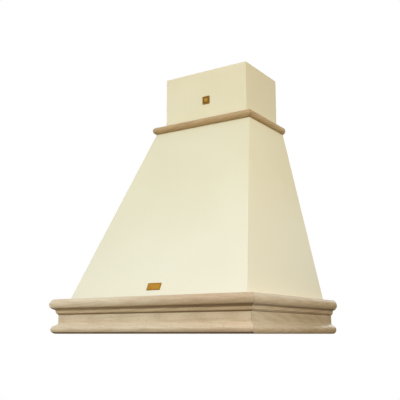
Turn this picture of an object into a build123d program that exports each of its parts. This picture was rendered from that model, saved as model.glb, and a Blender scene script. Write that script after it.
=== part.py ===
from build123d import *
import os
from math import atan2, cos, degrees, radians, sin, sqrt, tan

# Wall-hung kitchen hood with a wooden casing. Millimetres, +Z up, +X to the right when facing the
# wall, +Y into the wall. The origin lies on the wall, centred, level with the underside.

# ---------------------------------------------------------------- driving sizes

# Cornice moulding
hood_width = 600            # over the noses of the top roll
hood_depth = 460            # wall to the nose of the top roll
cornice_height = 88
cornice_section = 62        # nose of the top roll to the moulding's inner face
top_roll = 14               # radius
band_inset = 11.5           # upper edge of the band under the top roll
band_foot_inset = 12.8
band_height = 7.6
frieze_inset = 17.6
base_roll = 10.5            # radius
base_roll_inset = 4.2
shoulder_slope = 30         # degrees, above the base roll
cove = 6                    # radius from the shoulder into the frieze

# Canopy, collar and chimney
canopy_inset = 38           # nose of the top roll to the canopy's outer face
canopy_top = 570            # height of the canopy's upper edge
canopy_board = 9
canopy_ledge = 20           # chimney face to the canopy's upper edge
chimney_width = 268
chimney_depth = 182
chimney_top = 740
chimney_board = 9
collar_radius = 11
collar_overhang = 8.5       # nose beyond the canopy's upper edge

# Chimney extension, which slides inside the chimney
extension_board = 6
extension_gap = 1.5         # around the extension, taken up by its felt pads
extension_drop = 2          # its head below the chimney's head when pushed down
wall_gap = 1                # rear edges of the sliding pieces to the wall
pad_thickness = 1.2
pad_width = 20
pad_height = 40
pad_foot = 6                # pads above the extension's lower edge
pad_setback = 34            # pads in from the boards' edges
cleat_section = 12
cleat_end_gap = 4           # cleats short of the boards' ends
tie_thickness = 8
tie_height = 38

# Plates, left bare
emblem_side = 24            # square
emblem_corner = 3
emblem_level = 652          # height of its centre
emblem_shift = 4            # its centre right of the chimney's middle
name_plate_width = 40
name_plate_height = 19
name_plate_corner = 1
name_plate_rise = 26        # up the slope from the canopy's lower edge to its centre
plate_thickness = 1.2

# Carcass inside the casing
rail_thickness = 22
rail_screw_spacing = 340
rail_screw_level = 62
batten_thickness = 20
batten_height = 60
batten_screw_spacing = 200
wall_screw_radius = 4
wall_screw_head = 8.5       # counterbore radius
wall_screw_head_depth = 6
deck_thickness = 12
deck_gap = 0.2              # deck to the canopy boards
hip_leg = 26                # legs of the three-cornered hip battens
block_length = 50
block_width = 14
block_height = 24
block_spacing = 150
ledge_section = 20
ledge_gap = 0.2

# Liner pan
pan_gap = 1                 # around the pan
pan_sheet = 1.5
pan_level = 32              # height of the ceiling's underside
pan_foot = 3                # height of the skirt's lower edge
service_depth = 90          # front of the pan to the filter opening
filter_rear_margin = 32     # filter opening to the rear of the pan
filter_collar = 18          # height of the flange round the filter opening

# Grease filter
filter_side_margin = 77     # filter to the side of the pan
filter_thickness = 9
filter_gap = 1.5
filter_rear_gap = 3         # lets the rear edge swing past the pan
filter_wall = 1.5
filter_lip = 1.2
filter_border = 12
grille_sheet = 0.8
grille_fit = 0.2            # grilles and mesh inside the frame's channel
diamond_width = 22
diamond_height = 16
diamond_pitch_x = 30
diamond_pitch_y = 24
hinge_setback = 3           # hinge pin from the filter's rear edge
hinge_rise = 4              # hinge pin above the filter's underside
hinge_pin = 2               # radius
hinge_pin_reach = 5.5       # beyond the frame's side
pin_fit = 0.08              # running fit, on the radius
pull_wire = 1.5             # radius
pull_half_width = 14        # to the middle of the wire
pull_drop = 18.5
pull_bend = 3
pull_end = 9                # turned-out ends
pull_setback = 6            # pivot from the filter's front edge
ear_thickness = 3.4
ear_depth = 6
ear_height = 6.5
ear_pivot_drop = 3.5        # pivot below the frame
catch_width = 20
catch_depth = 10
catch_height = 8
catch_gap = 0.3             # catches above the closed filter
catch_spacing = 120

# Lamps
lamp_margin = 4             # lamp barrels to the side ledges
bezel_radius = 29
bezel_rim = 2.5
bezel_bevel = 0.8
barrel_radius = 24
barrel_height = 22
lamp_wall = 2
lens_lip = 3                # bezel's lip under the lens
lens_thickness = 3
lamp_fit = 0.3

# Controls
fascia_width = 176
fascia_depth = 40
fascia_thickness = 2.5
fascia_corner = 6
button_uses = ("off", "low", "medium", "high", "lamp")  # from left to right
button_pitch = 28
button_width = 18
button_depth = 12
button_height = 6.5
button_stand = 3            # below the fascia at rest
button_travel = 2.5
button_fit = 0.3
button_round = 0.9
stem_width = 6
stem_height = 15
switch_margin = 9           # switch block beyond the end buttons' caps
switch_depth = 28
switch_gap = 1              # around the switch block in the pan
switch_head = 28            # height of the switch block above the fascia
switch_wall = 3
stem_relief = 2             # stem's end to the end of its socket when pressed
cap_relief = 1              # above a pressed button's cap

# Blower
sheet = 1.5
fan_drop = 138              # deck's underside to the fan's axis
fan_radius = 70
fan_inner = 60
fan_width = 114
fan_disc = 2
disc_inset = 1              # disc's edge inside the blades' tips
fan_blades = 36
blade_thickness = 1.2
blade_angle = 35            # degrees from the radius
blade_chord = 11
hub_radius = 12
hub_length = 22
scroll_width = 128
scroll_start = 84           # radius of the casing's first quarter
scroll_step = 14            # growth from quarter to quarter
outlet_depth = 110
tongue_radius = 8
flange_margin = 12
flange_sheet = 2
inlet_radius = 62
inlet_lip = 5
shaft_radius = 4
shaft_fit = 0.08
motor_radius = 40
motor_length = 78
motor_setback = 14          # fan's middle to the motor's inner end
motor_bevel = 4
motor_bore = 26
shaft_end_gap = 2           # shaft's end to the bottom of the bore
clamp_gap = 0.2
clamp_wall = 6
clamp_length = 12
arm_width = 12
arm_reach = 74
arm_sheet = 2
arm_screw_radius = 69       # circle of the arms' screws

# Outlet spigot and backdraught flaps
duct_setback = 88           # wall to the duct's axis
duct_radius = 60
duct_wall = 1.5
duct_hole_gap = 2           # deck's hole outside the duct
spigot_height = 70
spigot_flange = 150
flap_rise = 15              # flap pins above the deck
flap_gap = 0.9
flap_sheet = 1
flap_hinge_offset = 4       # pins each side of the middle
flap_sleeve = 2.6           # radius
flap_sleeve_length = 80
flap_pin = 1.5              # radius
stop_count = 4
stop_width = 8
stop_depth = 3
stop_height = 2
stop_gap = 0.3

# Electrical
box_length = 80
box_width = 45
box_height = 32
box_wall = 2
box_corner = 4
box_setback = 67            # filter opening's rear edge to the box's middle
gland_offset = 100
gland_setback = 30
gland_thread = 7.9          # radius
gland_nut = 11
gland_nut_height = 4
gland_tail = 2              # thread below the lower nut
gland_length = 30
gland_bore = 4.1

# Screws
wood_shank = 1.7
wood_head = 3.5
wood_length = 15
deck_screw_length = 9
screw_head_height = 2
screw_head_taper = 25
machine_shank = 1.5
machine_head = 3
machine_length = 5
flange_screw_inset = 6
side_screw_pitch = 110
cross_screw_pitch = 240

# ---------------------------------------------------------------- sizes worked out from them

opening_half = hood_width / 2 - cornice_section
opening_depth = hood_depth - cornice_section
canopy_foot_half = hood_width / 2 - canopy_inset
canopy_foot_depth = hood_depth - canopy_inset
canopy_head_half = chimney_width / 2 + canopy_ledge
canopy_head_depth = chimney_depth + canopy_ledge
canopy_rise = canopy_top - cornice_height
side_lean = (canopy_foot_half - canopy_head_half) / canopy_rise
front_lean = (canopy_foot_depth - canopy_head_depth) / canopy_rise
side_wall = canopy_board * sqrt(1 + side_lean**2)
front_wall = canopy_board * sqrt(1 + front_lean**2)
deck_foot = canopy_top - deck_thickness
fan_height = deck_foot - fan_drop

extension_half = chimney_width / 2 - chimney_board - extension_gap
extension_depth = chimney_depth - chimney_board - extension_gap
extension_head = chimney_top - extension_drop
extension_inner_half = extension_half - extension_board
extension_inner_depth = extension_depth - extension_board

pan_half = opening_half - pan_gap
pan_front = opening_depth - pan_gap
pan_rear = rail_thickness + pan_gap
pan_top = pan_level + pan_sheet
service_middle = pan_front - service_depth / 2
filter_half = pan_half - filter_side_margin
filter_hole_half = filter_half + filter_gap
filter_hole_front = pan_front - service_depth
filter_hole_rear = pan_rear + filter_rear_margin
filter_front = filter_hole_front - filter_gap
filter_rear = filter_hole_rear + filter_rear_gap
filter_depth = filter_front - filter_rear
filter_middle = (filter_front + filter_rear) / 2
hinge_y = -(filter_rear + hinge_setback)
hinge_z = pan_level + hinge_rise
pull_y = -(filter_front - pull_setback)
pull_z = pan_level - ear_pivot_drop
lamp_x = opening_half - ledge_section - lamp_margin - barrel_radius

fascia_foot = pan_level - fascia_thickness
button_row = (len(button_uses) - 1) * button_pitch
switch_length = button_row + button_width + 2 * switch_margin
switch_hole_length = switch_length + 2 * switch_gap

outlet_far = scroll_start + 2 * scroll_step + scroll_step / 2
outlet_near = outlet_far - outlet_depth
fan_setback = duct_setback - outlet_depth / 2 + outlet_far
flange_foot = deck_foot - flange_sheet
fan_plane = Plane(origin=(0, -fan_setback, fan_height), x_dir=(0, 1, 0), z_dir=(1, 0, 0))

flap_level = canopy_top + flap_rise
flap_radius = duct_radius - duct_wall - flap_gap


# ---------------------------------------------------------------- helpers

def canopy_half(height):
    """Half the canopy's outer width at a height."""
    return canopy_foot_half - side_lean * (height - cornice_height)


def canopy_depth(height):
    """The canopy's outer depth from the wall at a height."""
    return canopy_foot_depth - front_lean * (height - cornice_height)


def block(low, high, mode=Mode.ADD):
    """Add or cut a square-edged block between two opposite corners."""
    size = Vector(high) - Vector(low)
    with Locations(low):
        Box(size.X, size.Y, size.Z, align=(Align.MIN, Align.MIN, Align.MIN), mode=mode)


def board_corners(side, half, depth, side_thickness, front_thickness, rear=0):
    """Level section of one mitred board of a three-sided casing; side 0 is the front board."""
    inner_half = half - side_thickness
    inner_depth = depth - front_thickness
    if side == 0:
        return [(-half, -depth), (half, -depth), (inner_half, -inner_depth), (-inner_half, -inner_depth)]
    return [
        (side * half, -depth),
        (side * half, -rear),
        (side * inner_half, -rear),
        (side * inner_half, -inner_depth),
    ]


def canopy_board_piece(side):
    """One leaning canopy board, from the cornice to its upper edge."""
    with BuildPart() as board:
        for height in (cornice_height, canopy_top):
            corners = board_corners(side, canopy_half(height), canopy_depth(height), side_wall, front_wall)
            with BuildSketch(Plane.XY.offset(height)):
                Polygon(*corners, align=None)
        loft(ruled=True)
    return board


def upright_board_piece(side, half, depth, thickness, head, rear=0):
    """One upright mitred board that stands on the deck."""
    with BuildPart() as board:
        with BuildSketch(Plane.XY.offset(canopy_top)):
            Polygon(*board_corners(side, half, depth, thickness, thickness, rear), align=None)
        extrude(amount=head - canopy_top)
    return board


def mitre_plane(side, half, depth):
    """Upright plane through a front corner at 45 degrees, facing the side moulding."""
    return Plane(origin=(side * half, -depth, 0), x_dir=(0, 0, 1), z_dir=(side, 1, 0))


def mitred_moulding(section, side, half, depth, foot):
    """One run of a moulding round the casing; its section has x inwards from the nose and y up."""
    front = Plane(origin=(-half, -depth, foot), x_dir=(0, 1, 0), z_dir=(1, 0, 0))
    with BuildPart() as run:
        if side == 0:
            with BuildSketch(front):
                add(section)
            extrude(amount=2 * half)
            split(bisect_by=mitre_plane(-1, half, depth), keep=Keep.BOTTOM)
            split(bisect_by=mitre_plane(1, half, depth), keep=Keep.BOTTOM)
        else:
            with BuildSketch(Plane(origin=(side * half, 0, foot), x_dir=(-side, 0, 0), z_dir=(0, side, 0))):
                add(section)
            extrude(amount=-side * depth)
            split(bisect_by=mitre_plane(side, half, depth), keep=Keep.TOP)
    return run


def screw_seats(places, height, facing):
    """Planes under the heads of upright screws; facing is the way the heads look."""
    return [Plane(origin=(x, y, height), z_dir=(0, 0, facing)) for x, y in places]


def screws(seats, shank, head, length):
    """Add screws with their heads on the seats and their shanks in the work."""
    crown = head - screw_head_height * tan(radians(screw_head_taper))
    with Locations(*seats):
        Cone(head, crown, screw_head_height, align=(Align.CENTER, Align.CENTER, Align.MIN))
        Cylinder(shank, length, align=(Align.CENTER, Align.CENTER, Align.MAX))


def screw_holes(seats, shank, length):
    """Cut the holes that the screws sit in."""
    with Locations(*seats):
        Hole(shank, depth=length)


def finish(piece, name):
    """Name a finished piece and write it to its own file."""
    piece.part.label = name
    export_step(piece.part, f"parts/{name}.step")


os.makedirs("parts", exist_ok=True)
runs = (("front", 0), ("left", -1), ("right", 1))
hands = (("left", -1), ("right", 1))


# ---------------------------------------------------------------- screw places

pan_screw_places = [
    (side * (opening_half - ledge_section / 2), -service_middle + row * side_screw_pitch)
    for side in (-1, 1)
    for row in (0, 1, 2)
]
pan_screw_places += [
    (side * cross_screw_pitch / 2, y)
    for side in (-1, 1)
    for y in (-opening_depth + ledge_section / 2, -rail_thickness - ledge_section / 2)
]
pan_seats = screw_seats(pan_screw_places, pan_level, -1)

flange_half_x = scroll_width / 2 + sheet + flange_margin
flange_half_y = outlet_depth / 2 + flange_margin
flange_seats = screw_seats(
    [
        (i * (flange_half_x - flange_screw_inset), -duct_setback + j * (flange_half_y - flange_screw_inset))
        for i in (-1, 1)
        for j in (-1, 1)
    ],
    flange_foot,
    -1,
)

spigot_reach = spigot_flange / 2 - flange_screw_inset
spigot_seats = screw_seats(
    [(i * spigot_reach, -duct_setback + j * spigot_reach) for i in (-1, 1) for j in (-1, 1)],
    canopy_top + flange_sheet,
    1,
)

fascia_screw_x = (switch_hole_length + fascia_width) / 4
fascia_screw_places = [(side * fascia_screw_x, -service_middle) for side in (-1, 1)]
fascia_seats = screw_seats(fascia_screw_places, fascia_foot, -1)

bracket_x = scroll_width / 2 + sheet
arm_angles = (90, 210, 330)
bracket_seats = [
    Plane(
        origin=(
            bracket_x + arm_sheet,
            -fan_setback + arm_screw_radius * cos(radians(angle)),
            fan_height + arm_screw_radius * sin(radians(angle)),
        ),
        z_dir=(1, 0, 0),
    )
    for angle in arm_angles
]


# ---------------------------------------------------------------- cornice, collar

slope = radians(shoulder_slope)
base_axis = base_roll_inset + base_roll
shoulder = (base_axis - base_roll * sin(slope), base_roll + base_roll * cos(slope))
frieze_foot = shoulder[1] + (frieze_inset - shoulder[0]) * tan(slope)
band_foot = cornice_height - 2 * top_roll - band_height
frieze_head = band_foot - (frieze_inset - band_foot_inset)
roll_axis = cornice_height - top_roll
band_rise = sqrt(top_roll**2 - (top_roll - band_inset) ** 2)
roll_start = 180 + degrees(atan2(band_rise, top_roll - band_inset))

# Base roll, shoulder, frieze, band and top roll, from the underside up
with BuildSketch() as cornice_profile:
    with BuildLine():
        Line((cornice_section, 0), (base_axis, 0))
        CenterArc((base_axis, base_roll), base_roll, 270, -180 + shoulder_slope)
        FilletPolyline(shoulder, (frieze_inset, frieze_foot), (frieze_inset, frieze_head), radius=cove)
        Line((frieze_inset, frieze_head), (band_foot_inset, band_foot))
        Line((band_foot_inset, band_foot), (band_inset, roll_axis - band_rise))
        CenterArc((top_roll, roll_axis), top_roll, roll_start, 90 - roll_start)
        Line((top_roll, cornice_height), (cornice_section, cornice_height))
        Line((cornice_section, cornice_height), (cornice_section, 0))
    make_face()

# A flat strip with a full round nose
collar_strip = canopy_ledge + collar_overhang
with BuildSketch() as collar_profile:
    with BuildLine():
        Line((collar_strip, 0), (collar_radius, 0))
        CenterArc((collar_radius, collar_radius), collar_radius, 270, -180)
        Line((collar_radius, 2 * collar_radius), (collar_strip, 2 * collar_radius))
        Line((collar_strip, 2 * collar_radius), (collar_strip, 0))
    make_face()

for name, side in runs:
    cornice = mitred_moulding(cornice_profile.sketch, side, hood_width / 2, hood_depth, 0)
    finish(cornice, f"cornice_{name}")

for name, side in runs:
    collar_half = canopy_head_half + collar_overhang
    collar_depth = canopy_head_depth + collar_overhang
    collar = mitred_moulding(collar_profile.sketch, side, collar_half, collar_depth, canopy_top)
    finish(collar, f"collar_{name}")


# ---------------------------------------------------------------- canopy, chimney, extension

for name, side in runs:
    finish(canopy_board_piece(side), f"canopy_{name}")

for name, side in runs:
    chimney = upright_board_piece(side, chimney_width / 2, chimney_depth, chimney_board, chimney_top)
    finish(chimney, f"chimney_{name}")

for name, side in runs:
    extension = upright_board_piece(
        side, extension_half, extension_depth, extension_board, extension_head, wall_gap
    )
    finish(extension, f"extension_{name}")

with BuildPart() as extension_tie:
    block(
        (-extension_inner_half, -wall_gap - tie_thickness, extension_head - tie_height),
        (extension_inner_half, -wall_gap, extension_head),
    )
finish(extension_tie, "extension_tie")

with BuildPart() as extension_cleats:
    for side in (-1, 1):
        near = side * extension_inner_half
        far = side * (extension_inner_half - cleat_section)
        block(
            (min(near, far), -extension_inner_depth, canopy_top + cleat_end_gap),
            (max(near, far), -extension_inner_depth + cleat_section, extension_head - cleat_end_gap),
        )
finish(extension_cleats, "extension_cleats")

with BuildPart() as glide_pads:
    foot = canopy_top + pad_foot
    for side in (-1, 1):
        with BuildSketch(Plane.XY.offset(foot)):
            with Locations((side * (extension_half - pad_setback), -extension_depth - pad_thickness / 2)):
                Rectangle(pad_width, pad_thickness)
            for y in (-wall_gap - pad_setback, -extension_depth + pad_setback):
                with Locations((side * (extension_half + pad_thickness / 2), y)):
                    Rectangle(pad_thickness, pad_width)
        extrude(amount=pad_height)
finish(glide_pads, "glide_pads")


# ---------------------------------------------------------------- bare plates

with BuildPart() as emblem_plate:
    emblem_place = (emblem_shift, -chimney_depth, emblem_level)
    with BuildSketch(Plane(origin=emblem_place, x_dir=(1, 0, 0), z_dir=(0, -1, 0))):
        RectangleRounded(emblem_side, emblem_side, emblem_corner)
    extrude(amount=plate_thickness)
finish(emblem_plate, "emblem_plate")

with BuildPart() as name_plate:
    slope_plane = Plane(
        origin=(0, -canopy_foot_depth, cornice_height), x_dir=(1, 0, 0), z_dir=(0, -1, front_lean)
    )
    with BuildSketch(slope_plane):
        with Locations((0, name_plate_rise)):
            RectangleRounded(name_plate_width, name_plate_height, name_plate_corner)
    extrude(amount=plate_thickness)
finish(name_plate, "name_plate")


# ---------------------------------------------------------------- carcass

def wall_screw_holes(spacing, thickness, level):
    """Counterbored holes for the screws into the wall, opening to the front."""
    for x in (-spacing / 2, spacing / 2):
        with Locations(Plane(origin=(x, -thickness, level), z_dir=(0, -1, 0))):
            CounterBoreHole(wall_screw_radius, wall_screw_head, wall_screw_head_depth)


with BuildPart() as rear_rail:
    block((-opening_half, -rail_thickness, 0), (opening_half, 0, cornice_height))
    wall_screw_holes(rail_screw_spacing, rail_thickness, rail_screw_level)
finish(rear_rail, "rear_rail")

with BuildPart() as wall_batten:
    batten_half = canopy_half(deck_foot) - side_wall - deck_gap
    block((-batten_half, -batten_thickness, deck_foot - batten_height), (batten_half, 0, deck_foot))
    wall_screw_holes(batten_screw_spacing, batten_thickness, deck_foot - batten_height / 2)
finish(wall_batten, "wall_batten")

with BuildPart() as top_deck:
    deck_half = canopy_head_half - side_wall - deck_gap
    deck_depth = canopy_head_depth - front_wall - deck_gap
    block((-deck_half, -deck_depth, deck_foot), (deck_half, 0, canopy_top))
    with Locations((0, -duct_setback, canopy_top)):
        Hole(duct_radius + duct_hole_gap)
    with Locations((gland_offset, -gland_setback, canopy_top)):
        Hole(gland_thread)
    screw_holes(flange_seats, wood_shank, deck_screw_length)
    screw_holes(spigot_seats, wood_shank, deck_screw_length)
finish(top_deck, "top_deck")

with BuildPart() as hip_battens:
    for side in (-1, 1):
        for height in (cornice_height, deck_foot):
            x = side * (canopy_half(height) - side_wall)
            y = -canopy_depth(height) + front_wall
            with BuildSketch(Plane.XY.offset(height)):
                Polygon((x, y), (x - side * hip_leg, y), (x, y + hip_leg), align=None)
        loft(ruled=True)
finish(hip_battens, "hip_battens")


def glue_block_face(lean):
    """Section of a glue block: it stands on the cornice and leans with the board outside it."""
    reach = lean * block_height
    foot = [(0, 0), (block_width, 0)]
    head = [(block_width + reach / 2, block_height), (reach, block_height)]
    Polygon(*foot, *head, align=None)


with BuildPart() as glue_blocks:
    for row in (-1, 0, 1):
        start = row * block_spacing - block_length / 2
        inner_y = -canopy_foot_depth + front_wall
        with BuildSketch(Plane(origin=(start, inner_y, cornice_height), x_dir=(0, 1, 0), z_dir=(1, 0, 0))):
            glue_block_face(front_lean)
        extrude(amount=block_length)
    for side in (-1, 1):
        for row in (0, 1):
            start = -canopy_foot_depth / 2 + row * block_spacing
            inner_x = side * (canopy_foot_half - side_wall)
            with BuildSketch(
                Plane(origin=(inner_x, start, cornice_height), x_dir=(-side, 0, 0), z_dir=(0, side, 0))
            ):
                glue_block_face(side_lean)
            extrude(amount=side * block_length)
finish(glue_blocks, "glue_blocks")

with BuildPart() as pan_ledges:
    foot = pan_top
    head = pan_top + ledge_section
    inner = opening_half - ledge_section
    block((-opening_half, -opening_depth, foot), (opening_half, -opening_depth + ledge_section, head))
    block((-opening_half, -rail_thickness - ledge_section, foot), (opening_half, -rail_thickness, head))
    side_front = -opening_depth + ledge_section + ledge_gap
    side_rear = -rail_thickness - ledge_section - ledge_gap
    block((-opening_half, side_front, foot), (-inner, side_rear, head))
    block((inner, side_front, foot), (opening_half, side_rear, head))
    screw_holes(pan_seats, wood_shank, wood_length)
finish(pan_ledges, "pan_ledges")


# ---------------------------------------------------------------- liner pan

with BuildPart() as liner_pan:
    block((-pan_half, -pan_front, pan_foot), (pan_half, -pan_rear, pan_top))
    block(
        (-pan_half + pan_sheet, -pan_front + pan_sheet, pan_foot),
        (pan_half - pan_sheet, -pan_rear - pan_sheet, pan_level),
        mode=Mode.SUBTRACT,
    )
    block(
        (-filter_hole_half - pan_sheet, -filter_hole_front - pan_sheet, pan_level),
        (filter_hole_half + pan_sheet, -filter_hole_rear + pan_sheet, pan_level + filter_collar),
    )
    block(
        (-filter_hole_half, -filter_hole_front, pan_level),
        (filter_hole_half, -filter_hole_rear, pan_level + filter_collar),
        mode=Mode.SUBTRACT,
    )
    with BuildSketch(Plane(origin=(0, -service_middle, pan_level))):
        Rectangle(switch_hole_length, switch_depth + 2 * switch_gap)
        with GridLocations(2 * lamp_x, 0, 2, 1):
            Circle(barrel_radius + lamp_fit)
    extrude(amount=pan_sheet, mode=Mode.SUBTRACT)
    with BuildSketch(Plane(origin=(0, hinge_y, hinge_z), z_dir=(1, 0, 0))):
        Circle(hinge_pin + pin_fit)
    extrude(amount=filter_hole_half + 2 * pan_sheet, both=True, mode=Mode.SUBTRACT)
    screw_holes(pan_seats, wood_shank, wood_length)
    screw_holes(fascia_seats, machine_shank, machine_length)
finish(liner_pan, "liner_pan")


# ---------------------------------------------------------------- grease filter

channel_half = filter_half - filter_wall
channel_depth = filter_depth - 2 * filter_wall
window_half = filter_half - filter_border
window_depth = filter_depth - 2 * filter_border
channel_foot = pan_level + filter_lip
channel_head = pan_level + filter_thickness - filter_lip

with BuildPart() as filter_frame:
    middle = Plane(origin=(0, -filter_middle, pan_level))
    with BuildSketch(middle):
        RectangleRounded(2 * filter_half, filter_depth, filter_wall)
        Rectangle(2 * window_half, window_depth, mode=Mode.SUBTRACT)
    extrude(amount=filter_thickness)
    with BuildSketch(middle.offset(filter_lip)):
        Rectangle(2 * channel_half, channel_depth)
    extrude(amount=filter_thickness - 2 * filter_lip, mode=Mode.SUBTRACT)
    ear_x = pull_half_width + pull_bend + ear_thickness
    for side in (-1, 1):
        low_x = min(side * (ear_x - ear_thickness), side * ear_x)
        block(
            (low_x, pull_y - ear_depth / 2, pan_level - ear_height),
            (low_x + ear_thickness, pull_y + ear_depth / 2, pan_level),
        )
    with BuildSketch(Plane(origin=(0, pull_y, pull_z), z_dir=(1, 0, 0))):
        Circle(pull_wire + pin_fit)
    extrude(amount=2 * ear_x, both=True, mode=Mode.SUBTRACT)
    with BuildSketch(Plane(origin=(0, hinge_y, hinge_z), z_dir=(1, 0, 0))):
        Circle(hinge_pin)
    extrude(amount=filter_half, both=True, mode=Mode.SUBTRACT)
finish(filter_frame, "filter_frame")

with BuildPart() as filter_grilles:
    grille_half = channel_half - grille_fit
    grille_depth = channel_depth - 2 * grille_fit
    columns = int((2 * window_half - diamond_width) / diamond_pitch_x) + 1
    rows = int((window_depth - diamond_height) / diamond_pitch_y) + 1
    for level in (channel_foot, channel_head - grille_sheet):
        with BuildSketch(Plane(origin=(0, -filter_middle, level))):
            Rectangle(2 * grille_half, grille_depth)
            for across, along in ((columns, rows), (columns - 1, rows - 1)):
                with GridLocations(diamond_pitch_x, diamond_pitch_y, across, along):
                    Polygon(
                        (-diamond_width / 2, 0),
                        (0, -diamond_height / 2),
                        (diamond_width / 2, 0),
                        (0, diamond_height / 2),
                        mode=Mode.SUBTRACT,
                    )
        extrude(amount=grille_sheet)
finish(filter_grilles, "filter_grilles")

with BuildPart() as filter_mesh:
    with BuildSketch(Plane(origin=(0, -filter_middle, channel_foot + grille_sheet))):
        Rectangle(2 * (channel_half - grille_fit), channel_depth - 2 * grille_fit)
    extrude(amount=channel_head - channel_foot - 2 * grille_sheet)
finish(filter_mesh, "filter_mesh")

with BuildPart() as filter_hinge_pins:
    for side in (-1, 1):
        with BuildSketch(Plane(origin=(side * channel_half, hinge_y, hinge_z), z_dir=(side, 0, 0))):
            Circle(hinge_pin)
        extrude(amount=filter_wall + hinge_pin_reach)
finish(filter_hinge_pins, "filter_hinge_pins")

with BuildPart() as filter_pull:
    end_x = pull_half_width + pull_end
    foot_z = pull_z - pull_drop
    with BuildLine():
        FilletPolyline(
            (-end_x, pull_y, pull_z),
            (-pull_half_width, pull_y, pull_z),
            (-pull_half_width, pull_y, foot_z),
            (pull_half_width, pull_y, foot_z),
            (pull_half_width, pull_y, pull_z),
            (end_x, pull_y, pull_z),
            radius=pull_bend,
        )
    with BuildSketch(Plane(origin=(-end_x, pull_y, pull_z), z_dir=(1, 0, 0))):
        Circle(pull_wire)
    sweep()
finish(filter_pull, "filter_pull")

with BuildPart() as magnet_catches:
    catch_foot = pan_level + filter_thickness + catch_gap
    for side in (-1, 1):
        low_x = side * catch_spacing / 2 - catch_width / 2
        block(
            (low_x, -filter_hole_front, catch_foot),
            (low_x + catch_width, -filter_hole_front + catch_depth, catch_foot + catch_height),
        )
finish(magnet_catches, "magnet_catches")


# ---------------------------------------------------------------- lamps

for name, side in hands:
    lamp_axis = Plane(origin=(side * lamp_x, -service_middle, pan_level))
    lens_seat = lamp_axis.offset(lamp_wall - bezel_rim)
    with BuildPart() as bezel:
        with BuildSketch(lamp_axis):
            Circle(barrel_radius)
        extrude(amount=barrel_height)
        with BuildSketch(lamp_axis):
            Circle(bezel_radius)
        extrude(amount=-bezel_rim)
        chamfer(bezel.edges().group_by(Axis.Z)[0], bezel_bevel)
        with BuildSketch(lens_seat):
            Circle(barrel_radius - lamp_wall)
        extrude(amount=barrel_height + bezel_rim - 2 * lamp_wall, mode=Mode.SUBTRACT)
        with BuildSketch(lens_seat):
            Circle(barrel_radius - lamp_wall - lens_lip)
        extrude(amount=-2 * bezel_rim, mode=Mode.SUBTRACT)
    finish(bezel, f"lamp_bezel_{name}")

    with BuildPart() as lens:
        with BuildSketch(lens_seat):
            Circle(barrel_radius - lamp_wall - lamp_fit)
        extrude(amount=lens_thickness)
    finish(lens, f"lamp_lens_{name}")


# ---------------------------------------------------------------- controls

with BuildPart() as control_fascia:
    with BuildSketch(Plane(origin=(0, -service_middle, fascia_foot))):
        RectangleRounded(fascia_width, fascia_depth, fascia_corner)
        with GridLocations(button_pitch, 0, len(button_uses), 1):
            Rectangle(button_width, button_depth, mode=Mode.SUBTRACT)
    extrude(amount=fascia_thickness)
    screw_holes(fascia_seats, machine_shank, machine_length)
finish(control_fascia, "control_fascia")

stem_foot = fascia_foot - button_stand + button_height
pocket_height = stem_foot + button_travel + cap_relief - pan_level
socket_end = stem_foot + stem_height + button_travel + stem_relief

with BuildPart() as switch_block:
    with BuildSketch(Plane(origin=(0, -service_middle, pan_level))):
        Rectangle(switch_length, switch_depth)
    extrude(amount=switch_head)
    with BuildSketch(Plane(origin=(0, -service_middle, pan_level))):
        Rectangle(switch_length - 2 * switch_wall, switch_depth - 2 * switch_wall)
    extrude(amount=pocket_height, mode=Mode.SUBTRACT)
    with BuildSketch(Plane(origin=(0, -service_middle, pan_level))):
        with GridLocations(button_pitch, 0, len(button_uses), 1):
            Rectangle(stem_width + 2 * button_fit, stem_width + 2 * button_fit)
    extrude(amount=socket_end - pan_level, mode=Mode.SUBTRACT)
finish(switch_block, "switch_block")

for place, use in enumerate(button_uses):
    button_x = place * button_pitch - button_row / 2
    cap_plane = Plane(origin=(button_x, -service_middle, fascia_foot - button_stand))
    with BuildPart() as button:
        with BuildSketch(cap_plane):
            Rectangle(button_width - 2 * button_fit, button_depth - 2 * button_fit)
        extrude(amount=button_height)
        fillet(button.faces().sort_by(Axis.Z)[0].edges(), button_round)
        with BuildSketch(cap_plane.offset(button_height)):
            Rectangle(stem_width, stem_width)
        extrude(amount=stem_height)
    finish(button, f"{use}_button")


# ---------------------------------------------------------------- blower

def scroll_face(head):
    """The blower casing from the side, drawn about the fan's axis: three quarters and a neck."""
    half_step = scroll_step / 2
    tongue = scroll_start - half_step
    rise = head - fan_height
    with BuildSketch(mode=Mode.PRIVATE) as casing:
        with BuildLine():
            FilletPolyline(
                (-half_step, tongue), (outlet_near, tongue), (outlet_near, rise), radius=tongue_radius
            )
            Line((outlet_near, rise), (outlet_far, rise))
            Line((outlet_far, rise), (outlet_far, half_step))
            CenterArc((half_step, half_step), scroll_start + 2 * scroll_step, 0, -90)
            CenterArc((half_step, -half_step), scroll_start + scroll_step, 270, -90)
            CenterArc((-half_step, -half_step), scroll_start, 180, -90)
        make_face()
    return casing.sketch


scroll_side = scroll_face(deck_foot)
plate_side = scroll_face(flange_foot)

with BuildPart() as blower_scroll:
    neck_middle = (outlet_near + outlet_far) / 2
    with BuildSketch(fan_plane.offset(-scroll_width / 2)):
        add(scroll_side)
        offset(amount=-sheet, kind=Kind.INTERSECTION, mode=Mode.SUBTRACT)
        with Locations((neck_middle, deck_foot - fan_height)):
            Rectangle(outlet_depth - 2 * sheet, 2 * sheet, mode=Mode.SUBTRACT)
    extrude(amount=scroll_width)
    with BuildSketch(Plane(origin=(0, -duct_setback, flange_foot))):
        Rectangle(2 * flange_half_x, 2 * flange_half_y)
        Rectangle(scroll_width, outlet_depth - 2 * sheet, mode=Mode.SUBTRACT)
    extrude(amount=flange_sheet)
    screw_holes(flange_seats, wood_shank, deck_screw_length)
finish(blower_scroll, "blower_scroll")

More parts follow.
